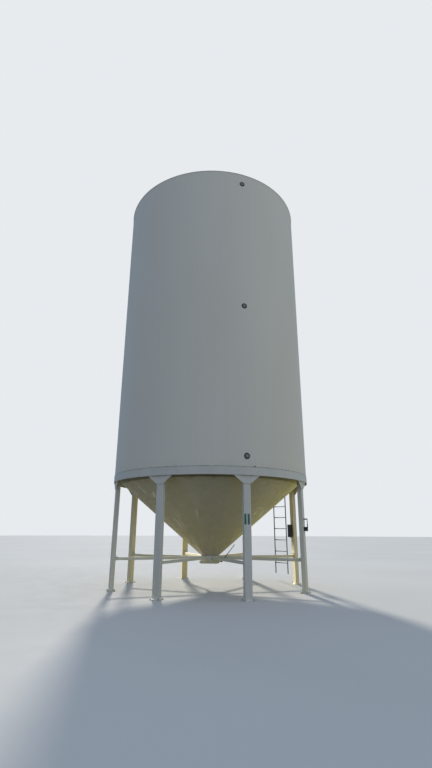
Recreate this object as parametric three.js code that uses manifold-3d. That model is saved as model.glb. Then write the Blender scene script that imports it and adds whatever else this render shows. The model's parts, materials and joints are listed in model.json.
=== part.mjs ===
// Smooth-wall grain silo on eight legs: a steel cylinder with a conical roof above and a conical hopper
// below.
// Millimetres, +Z up, origin on the silo's axis at ground level. An azimuth of 0 faces -Y, and 90 faces +X.
import * as THREE from 'three';
import { mergeVertices } from 'three/addons/utils/BufferGeometryUtils.js';
import Module from 'manifold-3d';

const wasm = await Module();
wasm.setup();

// Driving dimensions
const GAP = 0.3;                  // between pieces that touch
const BITE = 1;                   // overlap of the solids that are joined into one piece
const FACETS = 96;                // flat strips in a full turn of wall, band, hopper and roof
const ROUND_SIDES = 24;           // of small round bars
const LEGS = 8;
const BAY = 360 / LEGS;           // degrees from leg to leg
const FIRST_LEG = BAY / 2;        // azimuth of the first leg
const PANELS = 4;                 // of the wall and of the hopper, the first seam half a bay from a leg
const SECTOR = 360 / PANELS;
const SHEET = 6;                  // sheet of wall, hopper and roof
const WALL_R = 2438;              // outside of the wall, for a silo 16 feet across
const EAVE_Z = 10284;             // top edge of the wall

const BAND_R = 2448;              // outside of the band round the wall's foot
const BAND_SHEET = 10;
const BAND_BOTTOM = 2411;
const BAND_TOP = 2584;
const BAND_FLANGE = 60;           // flat leg of the band, which carries wall and hopper
const BAND_FLANGE_T = 12;

const HOPPER_SLOPE = 0.83;        // rise over run
const HOPPER_APEX = 549;          // height where the cone would come to a point
const HOPPER_BOTTOM = 727;

const ROOF_R = 2446;              // eave edge
const ROOF_SLOPE = Math.tan(THREE.MathUtils.degToRad(30));
const ROOF_HOLE_R = 330;
const EAVE_SEAT = 21;             // flat ring under the eave that sits on the wall
const NECK_R = 334;
const NECK_T = 8;
const NECK_RISE = 135;            // of the neck above the roof
const LID_R = 352;
const LID_SLOPE = 0.2045;
const LID_SKIRT = 50;

const HATCH_AZIMUTH = 134;        // above the ladder
const HATCH_AT_R = 2160;
const HATCH_R = 270;
const HATCH_T = 8;
const HATCH_TOP = 10700;
const HATCH_LID_R = 330;
const HATCH_LID_SKIRT = 30;
const HATCH_LID_SHOULDER = 50;    // height half way in, of a shallow dome
const HATCH_LID_H = 62;

const LEG_W = 162;                // around the silo
const LEG_D = 100;                // towards the axis
const LEG_FACE = 2408.5;          // outer face of the post, from the axis
const LEG_CLEAR = 2;              // below the hopper's faceted sheet
const GUSSET_T = 10;
const GUSSET_HALF = 300;
const GUSSET_FLARE = 171;         // height of the sloped part below the band
const FOOT_W = 230;
const FOOT_D = 180;
const FOOT_T = 12;

const COLLAR_R = 232;             // flat of the octagonal outlet collar, from the axis
const COLLAR_T = 10;
const COLLAR_BOTTOM = 600;
const COLLAR_HOLE = 185;
const COLLAR_TOP_T = 8;

const SPOKE_W = 60;
const SPOKE_H = 64;
const SPOKE_BOTTOM = 648;

const GATE_HALF = 236;            // half width of the slide gate's frame
const GATE_HOLE = 190;            // half width of its opening
const GATE_BOTTOM = 560;
const GATE_RAIL_END = 560;        // how far the rails run back from the axis
const SLOT_HALF = 225;
const SLOT_BOTTOM = 570;
const SLOT_TOP = 584;
const SPOUT_BOTTOM = 548;
const SPOUT_WALL = 10;
const BLADE_T = 12;

const SHAFT_R = 12;
const SHAFT_Y = -274;
const SHAFT_Z = 606;
const SHAFT_LEFT = -225;
const SHAFT_RIGHT = 300;
const EAR_X = 200;
const EAR_T = 12;
const EAR_HALF = 26;
const ROD_R = 8;
const KNUCKLE = 34;
const CRANK_TOP = new THREE.Vector3(612, -140, 985);

const LADDER_AZIMUTH = 134;
const LADDER_R = 2634;            // middle of the rails, from the axis
const LADDER_W = 454;
const LADDER_BOTTOM = 180;
const LADDER_TOP = 10350;
const RAIL_W = 8;
const RAIL_D = 38;
const RUNG_R = 12;
const RUNG_FIRST = 460;
const RUNG_STEP = 305;
const RUNGS = 33;
const RUNG_SIDES = 8;
const BRACKET_T = 6;
const BRACKET_H = 40;
const BAND_BRACKET_Z = 2500;
const WALL_BRACKET_HEIGHTS = [4900, 7300, 9700];

const SIGHT_R = 65;
const SIGHT_RIM = 8;              // sloped outer edge of the bezel
const SIGHT_DEPTH = 14;
const SIGHT_EDGE_DEPTH = 10;
const SIGHT_LENS_R = 43;
const SIGHT_LENS_DEPTH = 8;
const SIGHT_LENS_STEP = 3;
const SIGHT_SIDES = 32;
const SIGHT_HEIGHTS = [2816, 6391, 9980];
const SIGHT_AZIMUTH = FIRST_LEG;  // in line above a leg

const BOX_LEG = 3;
const BOX_FROM = -30;             // its sides, across the leg
const BOX_TO = 72;
const BOX_DEPTH = 100;
const BOX_BOTTOM = 1153;
const BOX_TOP = 1472;

const WINCH_LEG = 2;
const WINCH_OUT = 78;             // from the leg's face to the grip's middle
const WINCH_HALF = 30;
const WINCH_BOTTOM = 1295;
const WINCH_TOP = 1398;
const GRIP_R = 9;
const GRIP_SIDES = 12;
const GRIP_BOTTOM = 1300;
const GRIP_TOP = 1576;
const GRIP_ARM_HALF = 12;
const GRIP_ARM_T = 26;

// Finishes of the pieces
const paint = { color: new THREE.Color(0.80, 0.80, 0.76), roughness: 0.45, metalness: 0.1 };
const steel = { color: new THREE.Color(0.55, 0.57, 0.58), roughness: 0.45, metalness: 0.8 };
const black = { color: new THREE.Color(0.05, 0.05, 0.055), roughness: 0.45, metalness: 0.1 };

const silo = new THREE.Group();
silo.name = 'grain_silo';

function add(name, geometry, finish = paint, azimuth = 0) {
  const mesh = new THREE.Mesh(geometry, new THREE.MeshStandardMaterial(finish));
  mesh.name = name;
  mesh.rotation.z = THREE.MathUtils.degToRad(azimuth);
  silo.add(mesh);
}

// Solids, for cuts and joins

function solid(geometry) {
  const bare = geometry.clone();
  bare.deleteAttribute('normal');
  bare.deleteAttribute('uv');
  const merged = mergeVertices(bare, 1e-3);
  return new wasm.Manifold(new wasm.Mesh({
    numProp: 3,
    vertProperties: new Float32Array(merged.attributes.position.array),
    triVerts: new Uint32Array(merged.index.array),
  }));
}

function geometryOf(body) {
  const mesh = body.getMesh();
  const geometry = new THREE.BufferGeometry();
  geometry.setAttribute('position', new THREE.BufferAttribute(mesh.vertProperties, 3));
  geometry.setIndex(new THREE.BufferAttribute(mesh.triVerts, 1));
  geometry.computeVertexNormals();
  return geometry;
}

function join(...geometries) {
  return geometries.map(solid).reduce((whole, next) => whole.add(next));
}

// A box from its lowest to its highest corner.
function block(low, high) {
  const size = high.map((value, axis) => value - low[axis]);
  const middle = high.map((value, axis) => (value + low[axis]) / 2);
  return new THREE.BoxGeometry(...size).translate(...middle);
}

// A closed profile of [radius, height] points, turned about the Z axis. It runs up its outer side.
function turned(profile, facets = FACETS) {
  const points = [...profile, profile[0]].map(([radius, height]) => new THREE.Vector2(radius, height));
  return new THREE.LatheGeometry(points, facets).rotateX(Math.PI / 2);
}

// A solid disc-like profile that starts and ends on the axis.
function turnedDisc(profile, facets = FACETS) {
  const points = profile.map(([radius, height]) => new THREE.Vector2(radius, height));
  return new THREE.LatheGeometry(points, facets).rotateX(Math.PI / 2);
}

function rod(from, to, radius, sides) {
  const line = to.clone().sub(from);
  const up = new THREE.Vector3(0, 1, 0);
  const turn = new THREE.Quaternion().setFromUnitVectors(up, line.clone().normalize());
  const middle = from.clone().add(to).multiplyScalar(0.5);
  return new THREE.CylinderGeometry(radius, radius, line.length(), sides)
    .applyQuaternion(turn)
    .translate(middle.x, middle.y, middle.z);
}

// An outline of [x, z] points, extruded along Y from one depth to another.
function plate(outline, fromY, toY) {
  const shape = new THREE.Shape(outline.map(([x, z]) => new THREE.Vector2(x, z)));
  const depth = toY - fromY;
  return new THREE.ExtrudeGeometry(shape, { depth, bevelEnabled: false })
    .rotateX(Math.PI / 2)
    .translate(0, toY, 0);
}

// One panel's slice of the space round the axis, with half a gap left on each side.
function panelSlice(index, bottom, top) {
  const half = THREE.MathUtils.degToRad(SECTOR / 2);
  const middle = THREE.MathUtils.degToRad((index + 0.5) * SECTOR);
  const reach = 2 * WALL_R;
  const back = GAP / 2 / Math.sin(half);
  const at = (angle, radius) => new THREE.Vector2(Math.sin(angle), -Math.cos(angle)).multiplyScalar(radius);
  const tip = at(middle, back);
  const shape = new THREE.Shape([tip, at(middle - half, reach).add(tip), at(middle + half, reach).add(tip)]);
  return solid(new THREE.ExtrudeGeometry(shape, { depth: top - bottom, bevelEnabled: false })
    .translate(0, 0, bottom));
}

function panels(name, profile, bottom, top) {
  const ring = solid(turned(profile));
  for (let index = 0; index < PANELS; index += 1) {
    const panel = ring.intersect(panelSlice(index, bottom - BITE, top + BITE));
    add(`${name}_${index + 1}`, geometryOf(panel));
  }
}

// The wall, in tall panels that stand on the band

const WALL_BOTTOM = BAND_TOP + GAP;
panels('wall_panel', [
  [WALL_R, WALL_BOTTOM],
  [WALL_R, EAVE_Z],
  [WALL_R - SHEET, EAVE_Z],
  [WALL_R - SHEET, WALL_BOTTOM],
], WALL_BOTTOM, EAVE_Z);

// The band: an upright plate with a flat leg turned in between wall and hopper

const FLANGE_R = WALL_R - BAND_FLANGE;
const FLANGE_BOTTOM = BAND_TOP - BAND_FLANGE_T;
const BAND_INNER = BAND_R - BAND_SHEET;
add('band_ring', turned([
  [BAND_R, BAND_BOTTOM],
  [BAND_R, BAND_TOP],
  [FLANGE_R, BAND_TOP],
  [FLANGE_R, FLANGE_BOTTOM],
  [BAND_INNER, FLANGE_BOTTOM],
  [BAND_INNER, BAND_BOTTOM],
]));

// The hopper, in panels from the band down to the outlet

const hopperRadius = (z) => (z - HOPPER_APEX) / HOPPER_SLOPE;
const hopperHeight = (radius) => HOPPER_APEX + radius * HOPPER_SLOPE;
const HOPPER_SHEET_RUN = SHEET * Math.hypot(1, HOPPER_SLOPE) / HOPPER_SLOPE;
const HOPPER_TOP = FLANGE_BOTTOM - GAP;
panels('hopper_panel', [
  [hopperRadius(HOPPER_BOTTOM), HOPPER_BOTTOM],
  [hopperRadius(HOPPER_TOP), HOPPER_TOP],
  [hopperRadius(HOPPER_TOP) - HOPPER_SHEET_RUN, HOPPER_TOP],
  [hopperRadius(HOPPER_BOTTOM) - HOPPER_SHEET_RUN, HOPPER_BOTTOM],
], HOPPER_BOTTOM, HOPPER_TOP);

// The roof cone, open at the top for the neck and near the eave for the hatch

const ROOF_BOTTOM = EAVE_Z + GAP;
const roofSheetRise = SHEET * Math.hypot(1, ROOF_SLOPE);
const ROOF_EDGE_TOP = ROOF_BOTTOM + roofSheetRise;
const roofHeight = (radius) => ROOF_EDGE_TOP + (ROOF_R - radius) * ROOF_SLOPE;
const roofCone = solid(turned([
  [ROOF_R, ROOF_BOTTOM],
  [ROOF_R, ROOF_EDGE_TOP],
  [ROOF_HOLE_R, roofHeight(ROOF_HOLE_R)],
  [ROOF_HOLE_R, roofHeight(ROOF_HOLE_R) - roofSheetRise],
  [ROOF_R - EAVE_SEAT, roofHeight(ROOF_R - EAVE_SEAT) - roofSheetRise],
  [ROOF_R - EAVE_SEAT, ROOF_BOTTOM],
]));

const hatchTurn = THREE.MathUtils.degToRad(HATCH_AZIMUTH);
const hatchX = Math.sin(hatchTurn) * HATCH_AT_R;
const hatchY = -Math.cos(hatchTurn) * HATCH_AT_R;
const HATCH_SIDES = 48;
const hatchBoreR = HATCH_R - HATCH_T;
const hatchBore = solid(new THREE.CylinderGeometry(hatchBoreR, hatchBoreR, 2 * NECK_R, HATCH_SIDES)
  .rotateX(Math.PI / 2)
  .translate(hatchX, hatchY, ROOF_EDGE_TOP + NECK_R));
add('roof_cone', geometryOf(roofCone.subtract(hatchBore)));

const NECK_BOTTOM = roofHeight(ROOF_HOLE_R) + GAP;
const NECK_SIDES = 48;
const LID_SKIRT_T = 5;
const lidUnderside = (radius) => NECK_BOTTOM + NECK_RISE + (NECK_R - radius) * LID_SLOPE + GAP;
add('roof_neck', turned([
  [NECK_R, NECK_BOTTOM],
  [NECK_R, NECK_BOTTOM + NECK_RISE],
  [NECK_R - NECK_T, NECK_BOTTOM + NECK_RISE],
  [NECK_R - NECK_T, NECK_BOTTOM],
], NECK_SIDES));
add('roof_lid', turnedDisc([
  [0, lidUnderside(0)],
  [LID_R - LID_SKIRT_T, lidUnderside(LID_R - LID_SKIRT_T)],
  [LID_R - LID_SKIRT_T, lidUnderside(LID_R) - LID_SKIRT],
  [LID_R, lidUnderside(LID_R) - LID_SKIRT],
  [LID_R, lidUnderside(LID_R) + SHEET],
  [0, lidUnderside(0) + SHEET],
], NECK_SIDES));

// The round access hatch: an upright drum cut to the roof's slope, under a shallow lid

const roofSolid = solid(turnedDisc([
  [0, ROOF_BOTTOM - WALL_R],
  [ROOF_R, ROOF_BOTTOM - WALL_R],
  [ROOF_R, ROOF_EDGE_TOP + GAP],
  [0, roofHeight(0) + GAP],
]));
const hatchDrum = solid(turned([
  [HATCH_R, ROOF_BOTTOM],
  [HATCH_R, HATCH_TOP],
  [HATCH_R - HATCH_T, HATCH_TOP],
  [HATCH_R - HATCH_T, ROOF_BOTTOM],
], HATCH_SIDES).translate(hatchX, hatchY, 0));
add('hatch_drum', geometryOf(hatchDrum.subtract(roofSolid)));

add('hatch_lid', turnedDisc([
  [0, HATCH_TOP + GAP],
  [HATCH_LID_R - SHEET, HATCH_TOP + GAP],
  [HATCH_LID_R - SHEET, HATCH_TOP - HATCH_LID_SKIRT],
  [HATCH_LID_R, HATCH_TOP - HATCH_LID_SKIRT],
  [HATCH_LID_R, HATCH_TOP + SHEET],
  [HATCH_LID_R / 2, HATCH_TOP + HATCH_LID_SHOULDER],
  [0, HATCH_TOP + HATCH_LID_H],
], HATCH_SIDES).translate(hatchX, hatchY, 0));

// The legs: a post under the hopper's rim, a flared gusset plate inside the band, and a foot plate

function legBody() {
  const inner = LEG_FACE - LEG_D;
  const head = hopperHeight(LEG_FACE) - LEG_CLEAR;
  const side = new THREE.Shape([
    new THREE.Vector2(inner, FOOT_T - BITE),
    new THREE.Vector2(LEG_FACE, FOOT_T - BITE),
    new THREE.Vector2(LEG_FACE, head),
    new THREE.Vector2(inner, hopperHeight(inner) - LEG_CLEAR),
  ]);
  const post = new THREE.ExtrudeGeometry(side, { depth: LEG_W, bevelEnabled: false })
    .translate(0, 0, -LEG_W / 2)
    .rotateX(Math.PI / 2)
    .rotateZ(-Math.PI / 2);
  const flareFoot = BAND_BOTTOM - GUSSET_FLARE;
  const gusset = plate([
    [-LEG_W / 2, flareFoot],
    [LEG_W / 2, flareFoot],
    [GUSSET_HALF, BAND_BOTTOM],
    [GUSSET_HALF, head],
    [-GUSSET_HALF, head],
    [-GUSSET_HALF, BAND_BOTTOM],
  ], -LEG_FACE - GUSSET_T, -LEG_FACE + BITE);
  const footMiddle = LEG_FACE - LEG_D / 2;
  const foot = block(
    [-FOOT_W / 2, -footMiddle - FOOT_D / 2, 0],
    [FOOT_W / 2, -footMiddle + FOOT_D / 2, FOOT_T],
  );
  return geometryOf(join(post, gusset, foot));
}

// The spokes tie the outlet collar to the legs

function spokeBody() {
  const outer = LEG_FACE - LEG_D - GAP;
  const inner = COLLAR_R + GAP;
  return block([-SPOKE_W / 2, -outer, SPOKE_BOTTOM], [SPOKE_W / 2, -inner, SPOKE_BOTTOM + SPOKE_H]);
}

const legAzimuth = (number) => FIRST_LEG + (number - 1) * BAY;
for (let number = 1; number <= LEGS; number += 1) {
  add(`leg_${number}`, legBody(), paint, legAzimuth(number));
  add(`spoke_${number}`, spokeBody(), paint, legAzimuth(number));
}

// The octagonal outlet collar, whose flats take the spokes

const octagon = (flat) => flat / Math.cos(Math.PI / LEGS);
const COLLAR_TOP = HOPPER_BOTTOM - GAP;
add('outlet_collar', turned([
  [octagon(COLLAR_R), COLLAR_BOTTOM],
  [octagon(COLLAR_R), COLLAR_TOP],
  [octagon(COLLAR_HOLE), COLLAR_TOP],
  [octagon(COLLAR_HOLE), COLLAR_TOP - COLLAR_TOP_T],
  [octagon(COLLAR_R - COLLAR_T), COLLAR_TOP - COLLAR_TOP_T],
  [octagon(COLLAR_R - COLLAR_T), COLLAR_BOTTOM],
], LEGS));

// The slide gate: a frame with slotted rails, a spout below, and ears that carry the operating shaft

const GATE_TOP = COLLAR_BOTTOM - GAP;
function gateFrame() {
  const plateBlock = block([-GATE_HALF, -GATE_HALF, GATE_BOTTOM], [GATE_HALF, GATE_RAIL_END, GATE_TOP]);
  const spoutHalf = GATE_HOLE + SPOUT_WALL;
  const spout = block([-spoutHalf, -spoutHalf, SPOUT_BOTTOM], [spoutHalf, spoutHalf, GATE_BOTTOM + BITE]);
  const ears = [-EAR_X, EAR_X].map((x) => block(
    [x - EAR_T / 2, SHAFT_Y - EAR_HALF, GATE_BOTTOM],
    [x + EAR_T / 2, -GATE_HALF + BITE, SHAFT_Z + EAR_HALF],
  ));
  const hole = solid(block([-GATE_HOLE, -GATE_HOLE, 0], [GATE_HOLE, GATE_HOLE, HOPPER_BOTTOM]));
  const railEnd = GATE_RAIL_END + BITE;
  const railInner = SLOT_HALF - SPOUT_WALL;
  const slot = solid(block([-SLOT_HALF, -SLOT_HALF, SLOT_BOTTOM], [SLOT_HALF, railEnd, SLOT_TOP]));
  const betweenRails = solid(block([-railInner, GATE_HALF, 0], [railInner, railEnd, HOPPER_BOTTOM]));
  const shaftHole = solid(rod(new THREE.Vector3(SHAFT_LEFT, SHAFT_Y, SHAFT_Z),
    new THREE.Vector3(SHAFT_RIGHT, SHAFT_Y, SHAFT_Z), SHAFT_R + 2 * GAP, ROUND_SIDES));
  return geometryOf(join(plateBlock, spout, ...ears)
    .subtract(hole).subtract(slot).subtract(betweenRails).subtract(shaftHole));
}
add('gate_frame', gateFrame());

const BLADE_HALF = SLOT_HALF - 2;   // 2 mm of play in the slot
add('gate_blade', block([-BLADE_HALF, -BLADE_HALF, SLOT_BOTTOM + GAP],
  [BLADE_HALF, BLADE_HALF, SLOT_BOTTOM + GAP + BLADE_T]), steel);

// The operating shaft across the gate, with a crank rod that slants up beside the hopper

function gateCrank() {
  const left = new THREE.Vector3(SHAFT_LEFT, SHAFT_Y, SHAFT_Z);
  const right = new THREE.Vector3(SHAFT_RIGHT, SHAFT_Y, SHAFT_Z);
  const shaft = rod(left, right, SHAFT_R, ROUND_SIDES);
  const knuckle = new THREE.BoxGeometry(KNUCKLE, KNUCKLE, KNUCKLE).translate(SHAFT_RIGHT, SHAFT_Y, SHAFT_Z);
  const cap = new THREE.BoxGeometry(KNUCKLE / 2, KNUCKLE, KNUCKLE).translate(SHAFT_LEFT, SHAFT_Y, SHAFT_Z);
  const crank = rod(right, CRANK_TOP, ROD_R, ROUND_SIDES);
  return geometryOf(join(shaft, knuckle, cap, crank));
}
add('gate_crank', gateCrank(), steel);

// The ladder: two flat rails and round rungs

function ladder() {
  const half = LADDER_W / 2;
  const rails = [-half, half - RAIL_W].map((x) => block(
    [x, -LADDER_R - RAIL_D / 2, LADDER_BOTTOM],
    [x + RAIL_W, -LADDER_R + RAIL_D / 2, LADDER_TOP],
  ));
  const reach = half - RAIL_W / 2;
  const rungs = Array.from({ length: RUNGS }, (_, step) => {
    const height = RUNG_FIRST + step * RUNG_STEP;
    return rod(new THREE.Vector3(-reach, -LADDER_R, height),
      new THREE.Vector3(reach, -LADDER_R, height), RUNG_R, RUNG_SIDES);
  });
  return geometryOf(join(...rails, ...rungs));
}
add('ladder', ladder(), steel, LADDER_AZIMUTH);

// Brackets hold the ladder off the silo: a strap flat on the band or the wall, bent outwards along both rails

function ladderBracket(carrierRadius, height) {
  const bottom = height - BRACKET_H / 2;
  const top = height + BRACKET_H / 2;
  const inside = LADDER_W / 2 + GAP;
  const outside = inside + BRACKET_T;
  const front = -LADDER_R - RAIL_D / 2;
  const back = -carrierRadius - GAP;
  const strap = block([-outside, back - BRACKET_T, bottom], [outside, back, top]);
  const left = block([-outside, front, bottom], [-inside, back, top]);
  const right = block([inside, front, bottom], [outside, back, top]);
  return geometryOf(join(strap, left, right));
}
add('ladder_bracket_1', ladderBracket(BAND_R, BAND_BRACKET_Z), steel, LADDER_AZIMUTH);
WALL_BRACKET_HEIGHTS.forEach((height, index) => {
  add(`ladder_bracket_${index + 2}`, ladderBracket(WALL_R, height), steel, LADDER_AZIMUTH);
});

// The sight glasses: a dark bezel round a recessed lens, flat on the wall

SIGHT_HEIGHTS.forEach((height, index) => {
  const glass = turnedDisc([
    [0, 0],
    [SIGHT_R, 0],
    [SIGHT_R, SIGHT_EDGE_DEPTH],
    [SIGHT_R - SIGHT_RIM, SIGHT_DEPTH],
    [SIGHT_LENS_R, SIGHT_DEPTH],
    [SIGHT_LENS_R - SIGHT_LENS_STEP, SIGHT_LENS_DEPTH],
    [0, SIGHT_LENS_DEPTH],
  ], SIGHT_SIDES).rotateX(Math.PI / 2).translate(0, -WALL_R - GAP, height);
  add(`sight_glass_${index + 1}`, glass, black, SIGHT_AZIMUTH);
});

// Fittings on two of the legs: a box on an inner face, and a winch with an upright grip on an outer face

const BOX_BACK = -(LEG_FACE - LEG_D - GAP);
add('leg_box', block([BOX_FROM, BOX_BACK, BOX_BOTTOM], [BOX_TO, BOX_BACK + BOX_DEPTH, BOX_TOP]),
  black, legAzimuth(BOX_LEG));

function winch() {
  const face = -LEG_FACE - GAP;
  const out = face - WINCH_OUT;
  const body = block([-WINCH_HALF, out, WINCH_BOTTOM], [WINCH_HALF, face, WINCH_TOP]);
  const arm = block([-GRIP_ARM_HALF, out, GRIP_TOP - GRIP_ARM_T], [GRIP_ARM_HALF, face, GRIP_TOP]);
  const foot = new THREE.Vector3(0, out, GRIP_BOTTOM);
  const grip = rod(foot, new THREE.Vector3(0, out, GRIP_TOP), GRIP_R, GRIP_SIDES);
  return geometryOf(join(body, arm, grip));
}
add('leg_winch', winch(), black, legAzimuth(WINCH_LEG));

export default silo;
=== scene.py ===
"""Looks of the grain silo: fine skins over its solids, finishes, floor, light and camera.

Metres, +Z up, the origin on the silo's axis at ground level. An azimuth is in degrees from the front, -Y,
towards +X. What repeats round the silo is shaped at the front and turned to its azimuth.
"""

import json
from math import cos, degrees, exp, hypot, radians, sin, tan, tau

import bmesh
import bpy
from mathutils import Matrix, Vector, noise

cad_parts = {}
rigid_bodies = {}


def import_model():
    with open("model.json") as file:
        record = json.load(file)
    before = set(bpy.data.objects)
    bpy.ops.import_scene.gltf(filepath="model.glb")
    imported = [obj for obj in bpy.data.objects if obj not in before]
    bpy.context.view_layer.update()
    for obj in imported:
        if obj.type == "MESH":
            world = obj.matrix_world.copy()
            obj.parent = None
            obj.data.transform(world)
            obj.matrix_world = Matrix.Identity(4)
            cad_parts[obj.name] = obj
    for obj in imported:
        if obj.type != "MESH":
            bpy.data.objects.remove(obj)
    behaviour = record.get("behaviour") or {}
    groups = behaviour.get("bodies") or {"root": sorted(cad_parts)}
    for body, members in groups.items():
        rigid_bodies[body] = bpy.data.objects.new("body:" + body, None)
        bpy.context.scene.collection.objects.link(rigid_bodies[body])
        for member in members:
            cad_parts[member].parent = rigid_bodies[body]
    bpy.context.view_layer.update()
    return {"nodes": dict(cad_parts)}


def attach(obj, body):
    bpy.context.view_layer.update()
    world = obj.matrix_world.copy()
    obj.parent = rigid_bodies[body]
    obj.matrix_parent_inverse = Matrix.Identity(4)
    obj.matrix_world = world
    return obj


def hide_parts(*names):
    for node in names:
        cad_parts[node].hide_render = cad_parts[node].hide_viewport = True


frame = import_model()

# Sizes that the skins share with the solids
FIRST_LEG = 22.5
BAY = 45
LEGS = 8
WALL_R = 2.438
WALL_TOP = 10.284
WALL_BOTTOM = 2.5843
SHEET = 0.006
BAND_R = 2.448
BAND_BOTTOM = 2.411
BAND_TOP = 2.584
BAND_SHEET = 0.010
BAND_FLANGE = 0.060
BAND_FLANGE_T = 0.012
HOPPER_APEX = 0.549
HOPPER_SLOPE = 0.83
HOPPER_BOTTOM = 0.727
HOPPER_TOP = 2.5717
ROOF_R = 2.446
ROOF_EDGE = 10.2843
ROOF_SLOPE = tan(radians(30))
ROOF_HOLE_R = 0.330
LEG_FACE = 2.4085
LEG_W = 0.162
LEG_D = 0.100
LEG_Y = LEG_D / 2 - LEG_FACE
GUSSET_T = 0.010
GUSSET_HALF = 0.300
GUSSET_FLARE = 0.171
FOOT_W = 0.230
FOOT_D = 0.180
FOOT_T = 0.012
SPOKE_W = 0.060
SPOKE_H = 0.064
SPOKE_BOTTOM = 0.648
SPOKE_TOP = SPOKE_BOTTOM + SPOKE_H
HATCH_AZIMUTH = 134
HATCH_AT_R = 2.160
HATCH_HOLE_R = 0.262
LADDER_AZIMUTH = 134
LADDER_R = 2.634
LADDER_W = 0.454
SIGHT_HEIGHTS = (2.816, 6.391, 9.980)
GAP = 0.0003

# Fineness of the skins
PANEL_STEPS = 180
RING_STEPS = 720
SMALL_STEPS = 96
SHARP = radians(32)
SOFT = 0.0015
EMBED = 0.001
RIPPLE = 0.009

CREAM = "cream_paint"
ZINC = "galvanised"
DARK = "dark_fitting"


# Places

def polar(azimuth, radius, height):
    """The point at an azimuth, a distance from the axis and a height."""
    angle = radians(azimuth)
    return Vector((sin(angle) * radius, -cos(angle) * radius, height))


def at(x, y, z):
    """Moves a shape from the origin."""
    return Matrix.Translation((x, y, z))


def facing(angle, axis="Z"):
    """Turns a shape, about the Z axis from the front to an azimuth."""
    return Matrix.Rotation(radians(angle), 4, axis)


def leg_place(number):
    """Turns a shape that is modelled at the front to a leg."""
    return facing(FIRST_LEG + (number - 1) * BAY)


def hopper_height(radius):
    return HOPPER_APEX + radius * HOPPER_SLOPE


def hopper_radius(height):
    return (height - HOPPER_APEX) / HOPPER_SLOPE


def roof_height(radius):
    """Height of the roof's upper surface."""
    return ROOF_EDGE + SHEET * hypot(1, ROOF_SLOPE) + (ROOF_R - radius) * ROOF_SLOPE


OUTWARD = facing(90, "X")
INWARD = facing(-90, "X")
HATCH_MIDDLE = polar(HATCH_AZIMUTH, HATCH_AT_R, 0)
HATCH_PLACE = at(*HATCH_MIDDLE)


# Shapes, as meshes under construction

def loft(rings, cyclic=False):
    """A solid through closed rings of points, with flat ends or closed like a hoop."""
    shape = bmesh.new()
    loops = [[shape.verts.new(point) for point in ring] for ring in rings]
    following = loops[1:] + loops[:1] if cyclic else loops[1:]
    for lower, upper in zip(loops, following):
        for index in range(len(lower)):
            after = (index + 1) % len(lower)
            shape.faces.new((lower[index], lower[after], upper[after], upper[index]))
    if not cyclic:
        shape.faces.new(loops[0][::-1])
        shape.faces.new(loops[-1])
    return shape


def sweep(profile, steps, start=0, turn=360):
    """A closed profile of (radius, height) points, turned about the axis."""
    whole = turn == 360
    count = steps if whole else steps + 1
    return loft([
        [polar(start + turn * step / steps, radius, height) for radius, height in profile]
        for step in range(count)
    ], cyclic=whole)


def spin(profile, steps, place=Matrix()):
    """A profile of (radius, height) points, from the Z axis back to it, turned about it."""
    shape = bmesh.new()
    first, *middle, last = profile
    tips = [shape.verts.new(place @ Vector((0, 0, height))) for _, height in (first, last)]
    columns = []
    for step in range(steps):
        turn = place @ facing(360 * step / steps)
        columns.append([shape.verts.new(turn @ Vector((0, -radius, height))) for radius, height in middle])
    for left, right in zip(columns, columns[1:] + columns[:1]):
        shape.faces.new((tips[0], left[0], right[0]))
        for index in range(len(left) - 1):
            shape.faces.new((left[index], left[index + 1], right[index + 1], right[index]))
        shape.faces.new((left[-1], tips[1], right[-1]))
    return shape


def soften(shape, width=SOFT, segments=2):
    """Bevels every edge where two faces meet at more than a gentle angle."""
    bmesh.ops.recalc_face_normals(shape, faces=shape.faces)
    edges = [edge for edge in shape.edges if edge.calc_face_angle(0) > SHARP]
    bmesh.ops.bevel(shape, geom=edges, offset=width, segments=segments, profile=0.5, affect="EDGES",
                    clamp_overlap=True)
    return shape


def joined(parts, place=Matrix()):
    """One shape made of parts, moved to a place. It uses up the parts."""
    whole = bmesh.new()
    for part in parts:
        mesh = bpy.data.meshes.new("part")
        part.to_mesh(mesh)
        part.free()
        mesh.transform(place)
        whole.from_mesh(mesh)
        bpy.data.meshes.remove(mesh)
    return whole


def repeated(template, places):
    """A copy of a template at each place. It uses up the template."""
    copies = [joined([template.copy()], place) for place in places]
    template.free()
    return joined(copies)


def slab(outline, along, width=SOFT):
    """A plate with softened edges: a flat outline, swept along a straight line."""
    return soften(loft([outline, [point + along for point in outline]]), width)


def brick(low, high, width=SOFT, segments=2):
    """A block with softened edges between two corners."""
    shape = bmesh.new()
    size = Vector(high) - Vector(low)
    middle = (Vector(high) + Vector(low)) / 2
    bmesh.ops.create_cube(shape, size=1, matrix=Matrix.Translation(middle) @ Matrix.Diagonal((*size, 1)))
    return soften(shape, width, segments)


def circle(radius, steps):
    """Points of a circle in the XY plane."""
    angles = [tau * step / steps for step in range(steps)]
    return [Vector((cos(angle) * radius, sin(angle) * radius, 0)) for angle in angles]


def rounded_rectangle(half_x, half_y, corner, steps=4):
    """Points of a rectangle with round corners, in the XY plane."""
    points = []
    for quarter, (sign_x, sign_y) in enumerate(((1, 1), (-1, 1), (-1, -1), (1, -1))):
        middle = Vector((sign_x * (half_x - corner), sign_y * (half_y - corner), 0))
        for step in range(steps + 1):
            angle = radians(90 * (quarter + step / steps))
            points.append(middle + Vector((cos(angle), sin(angle), 0)) * corner)
    return points


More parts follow.
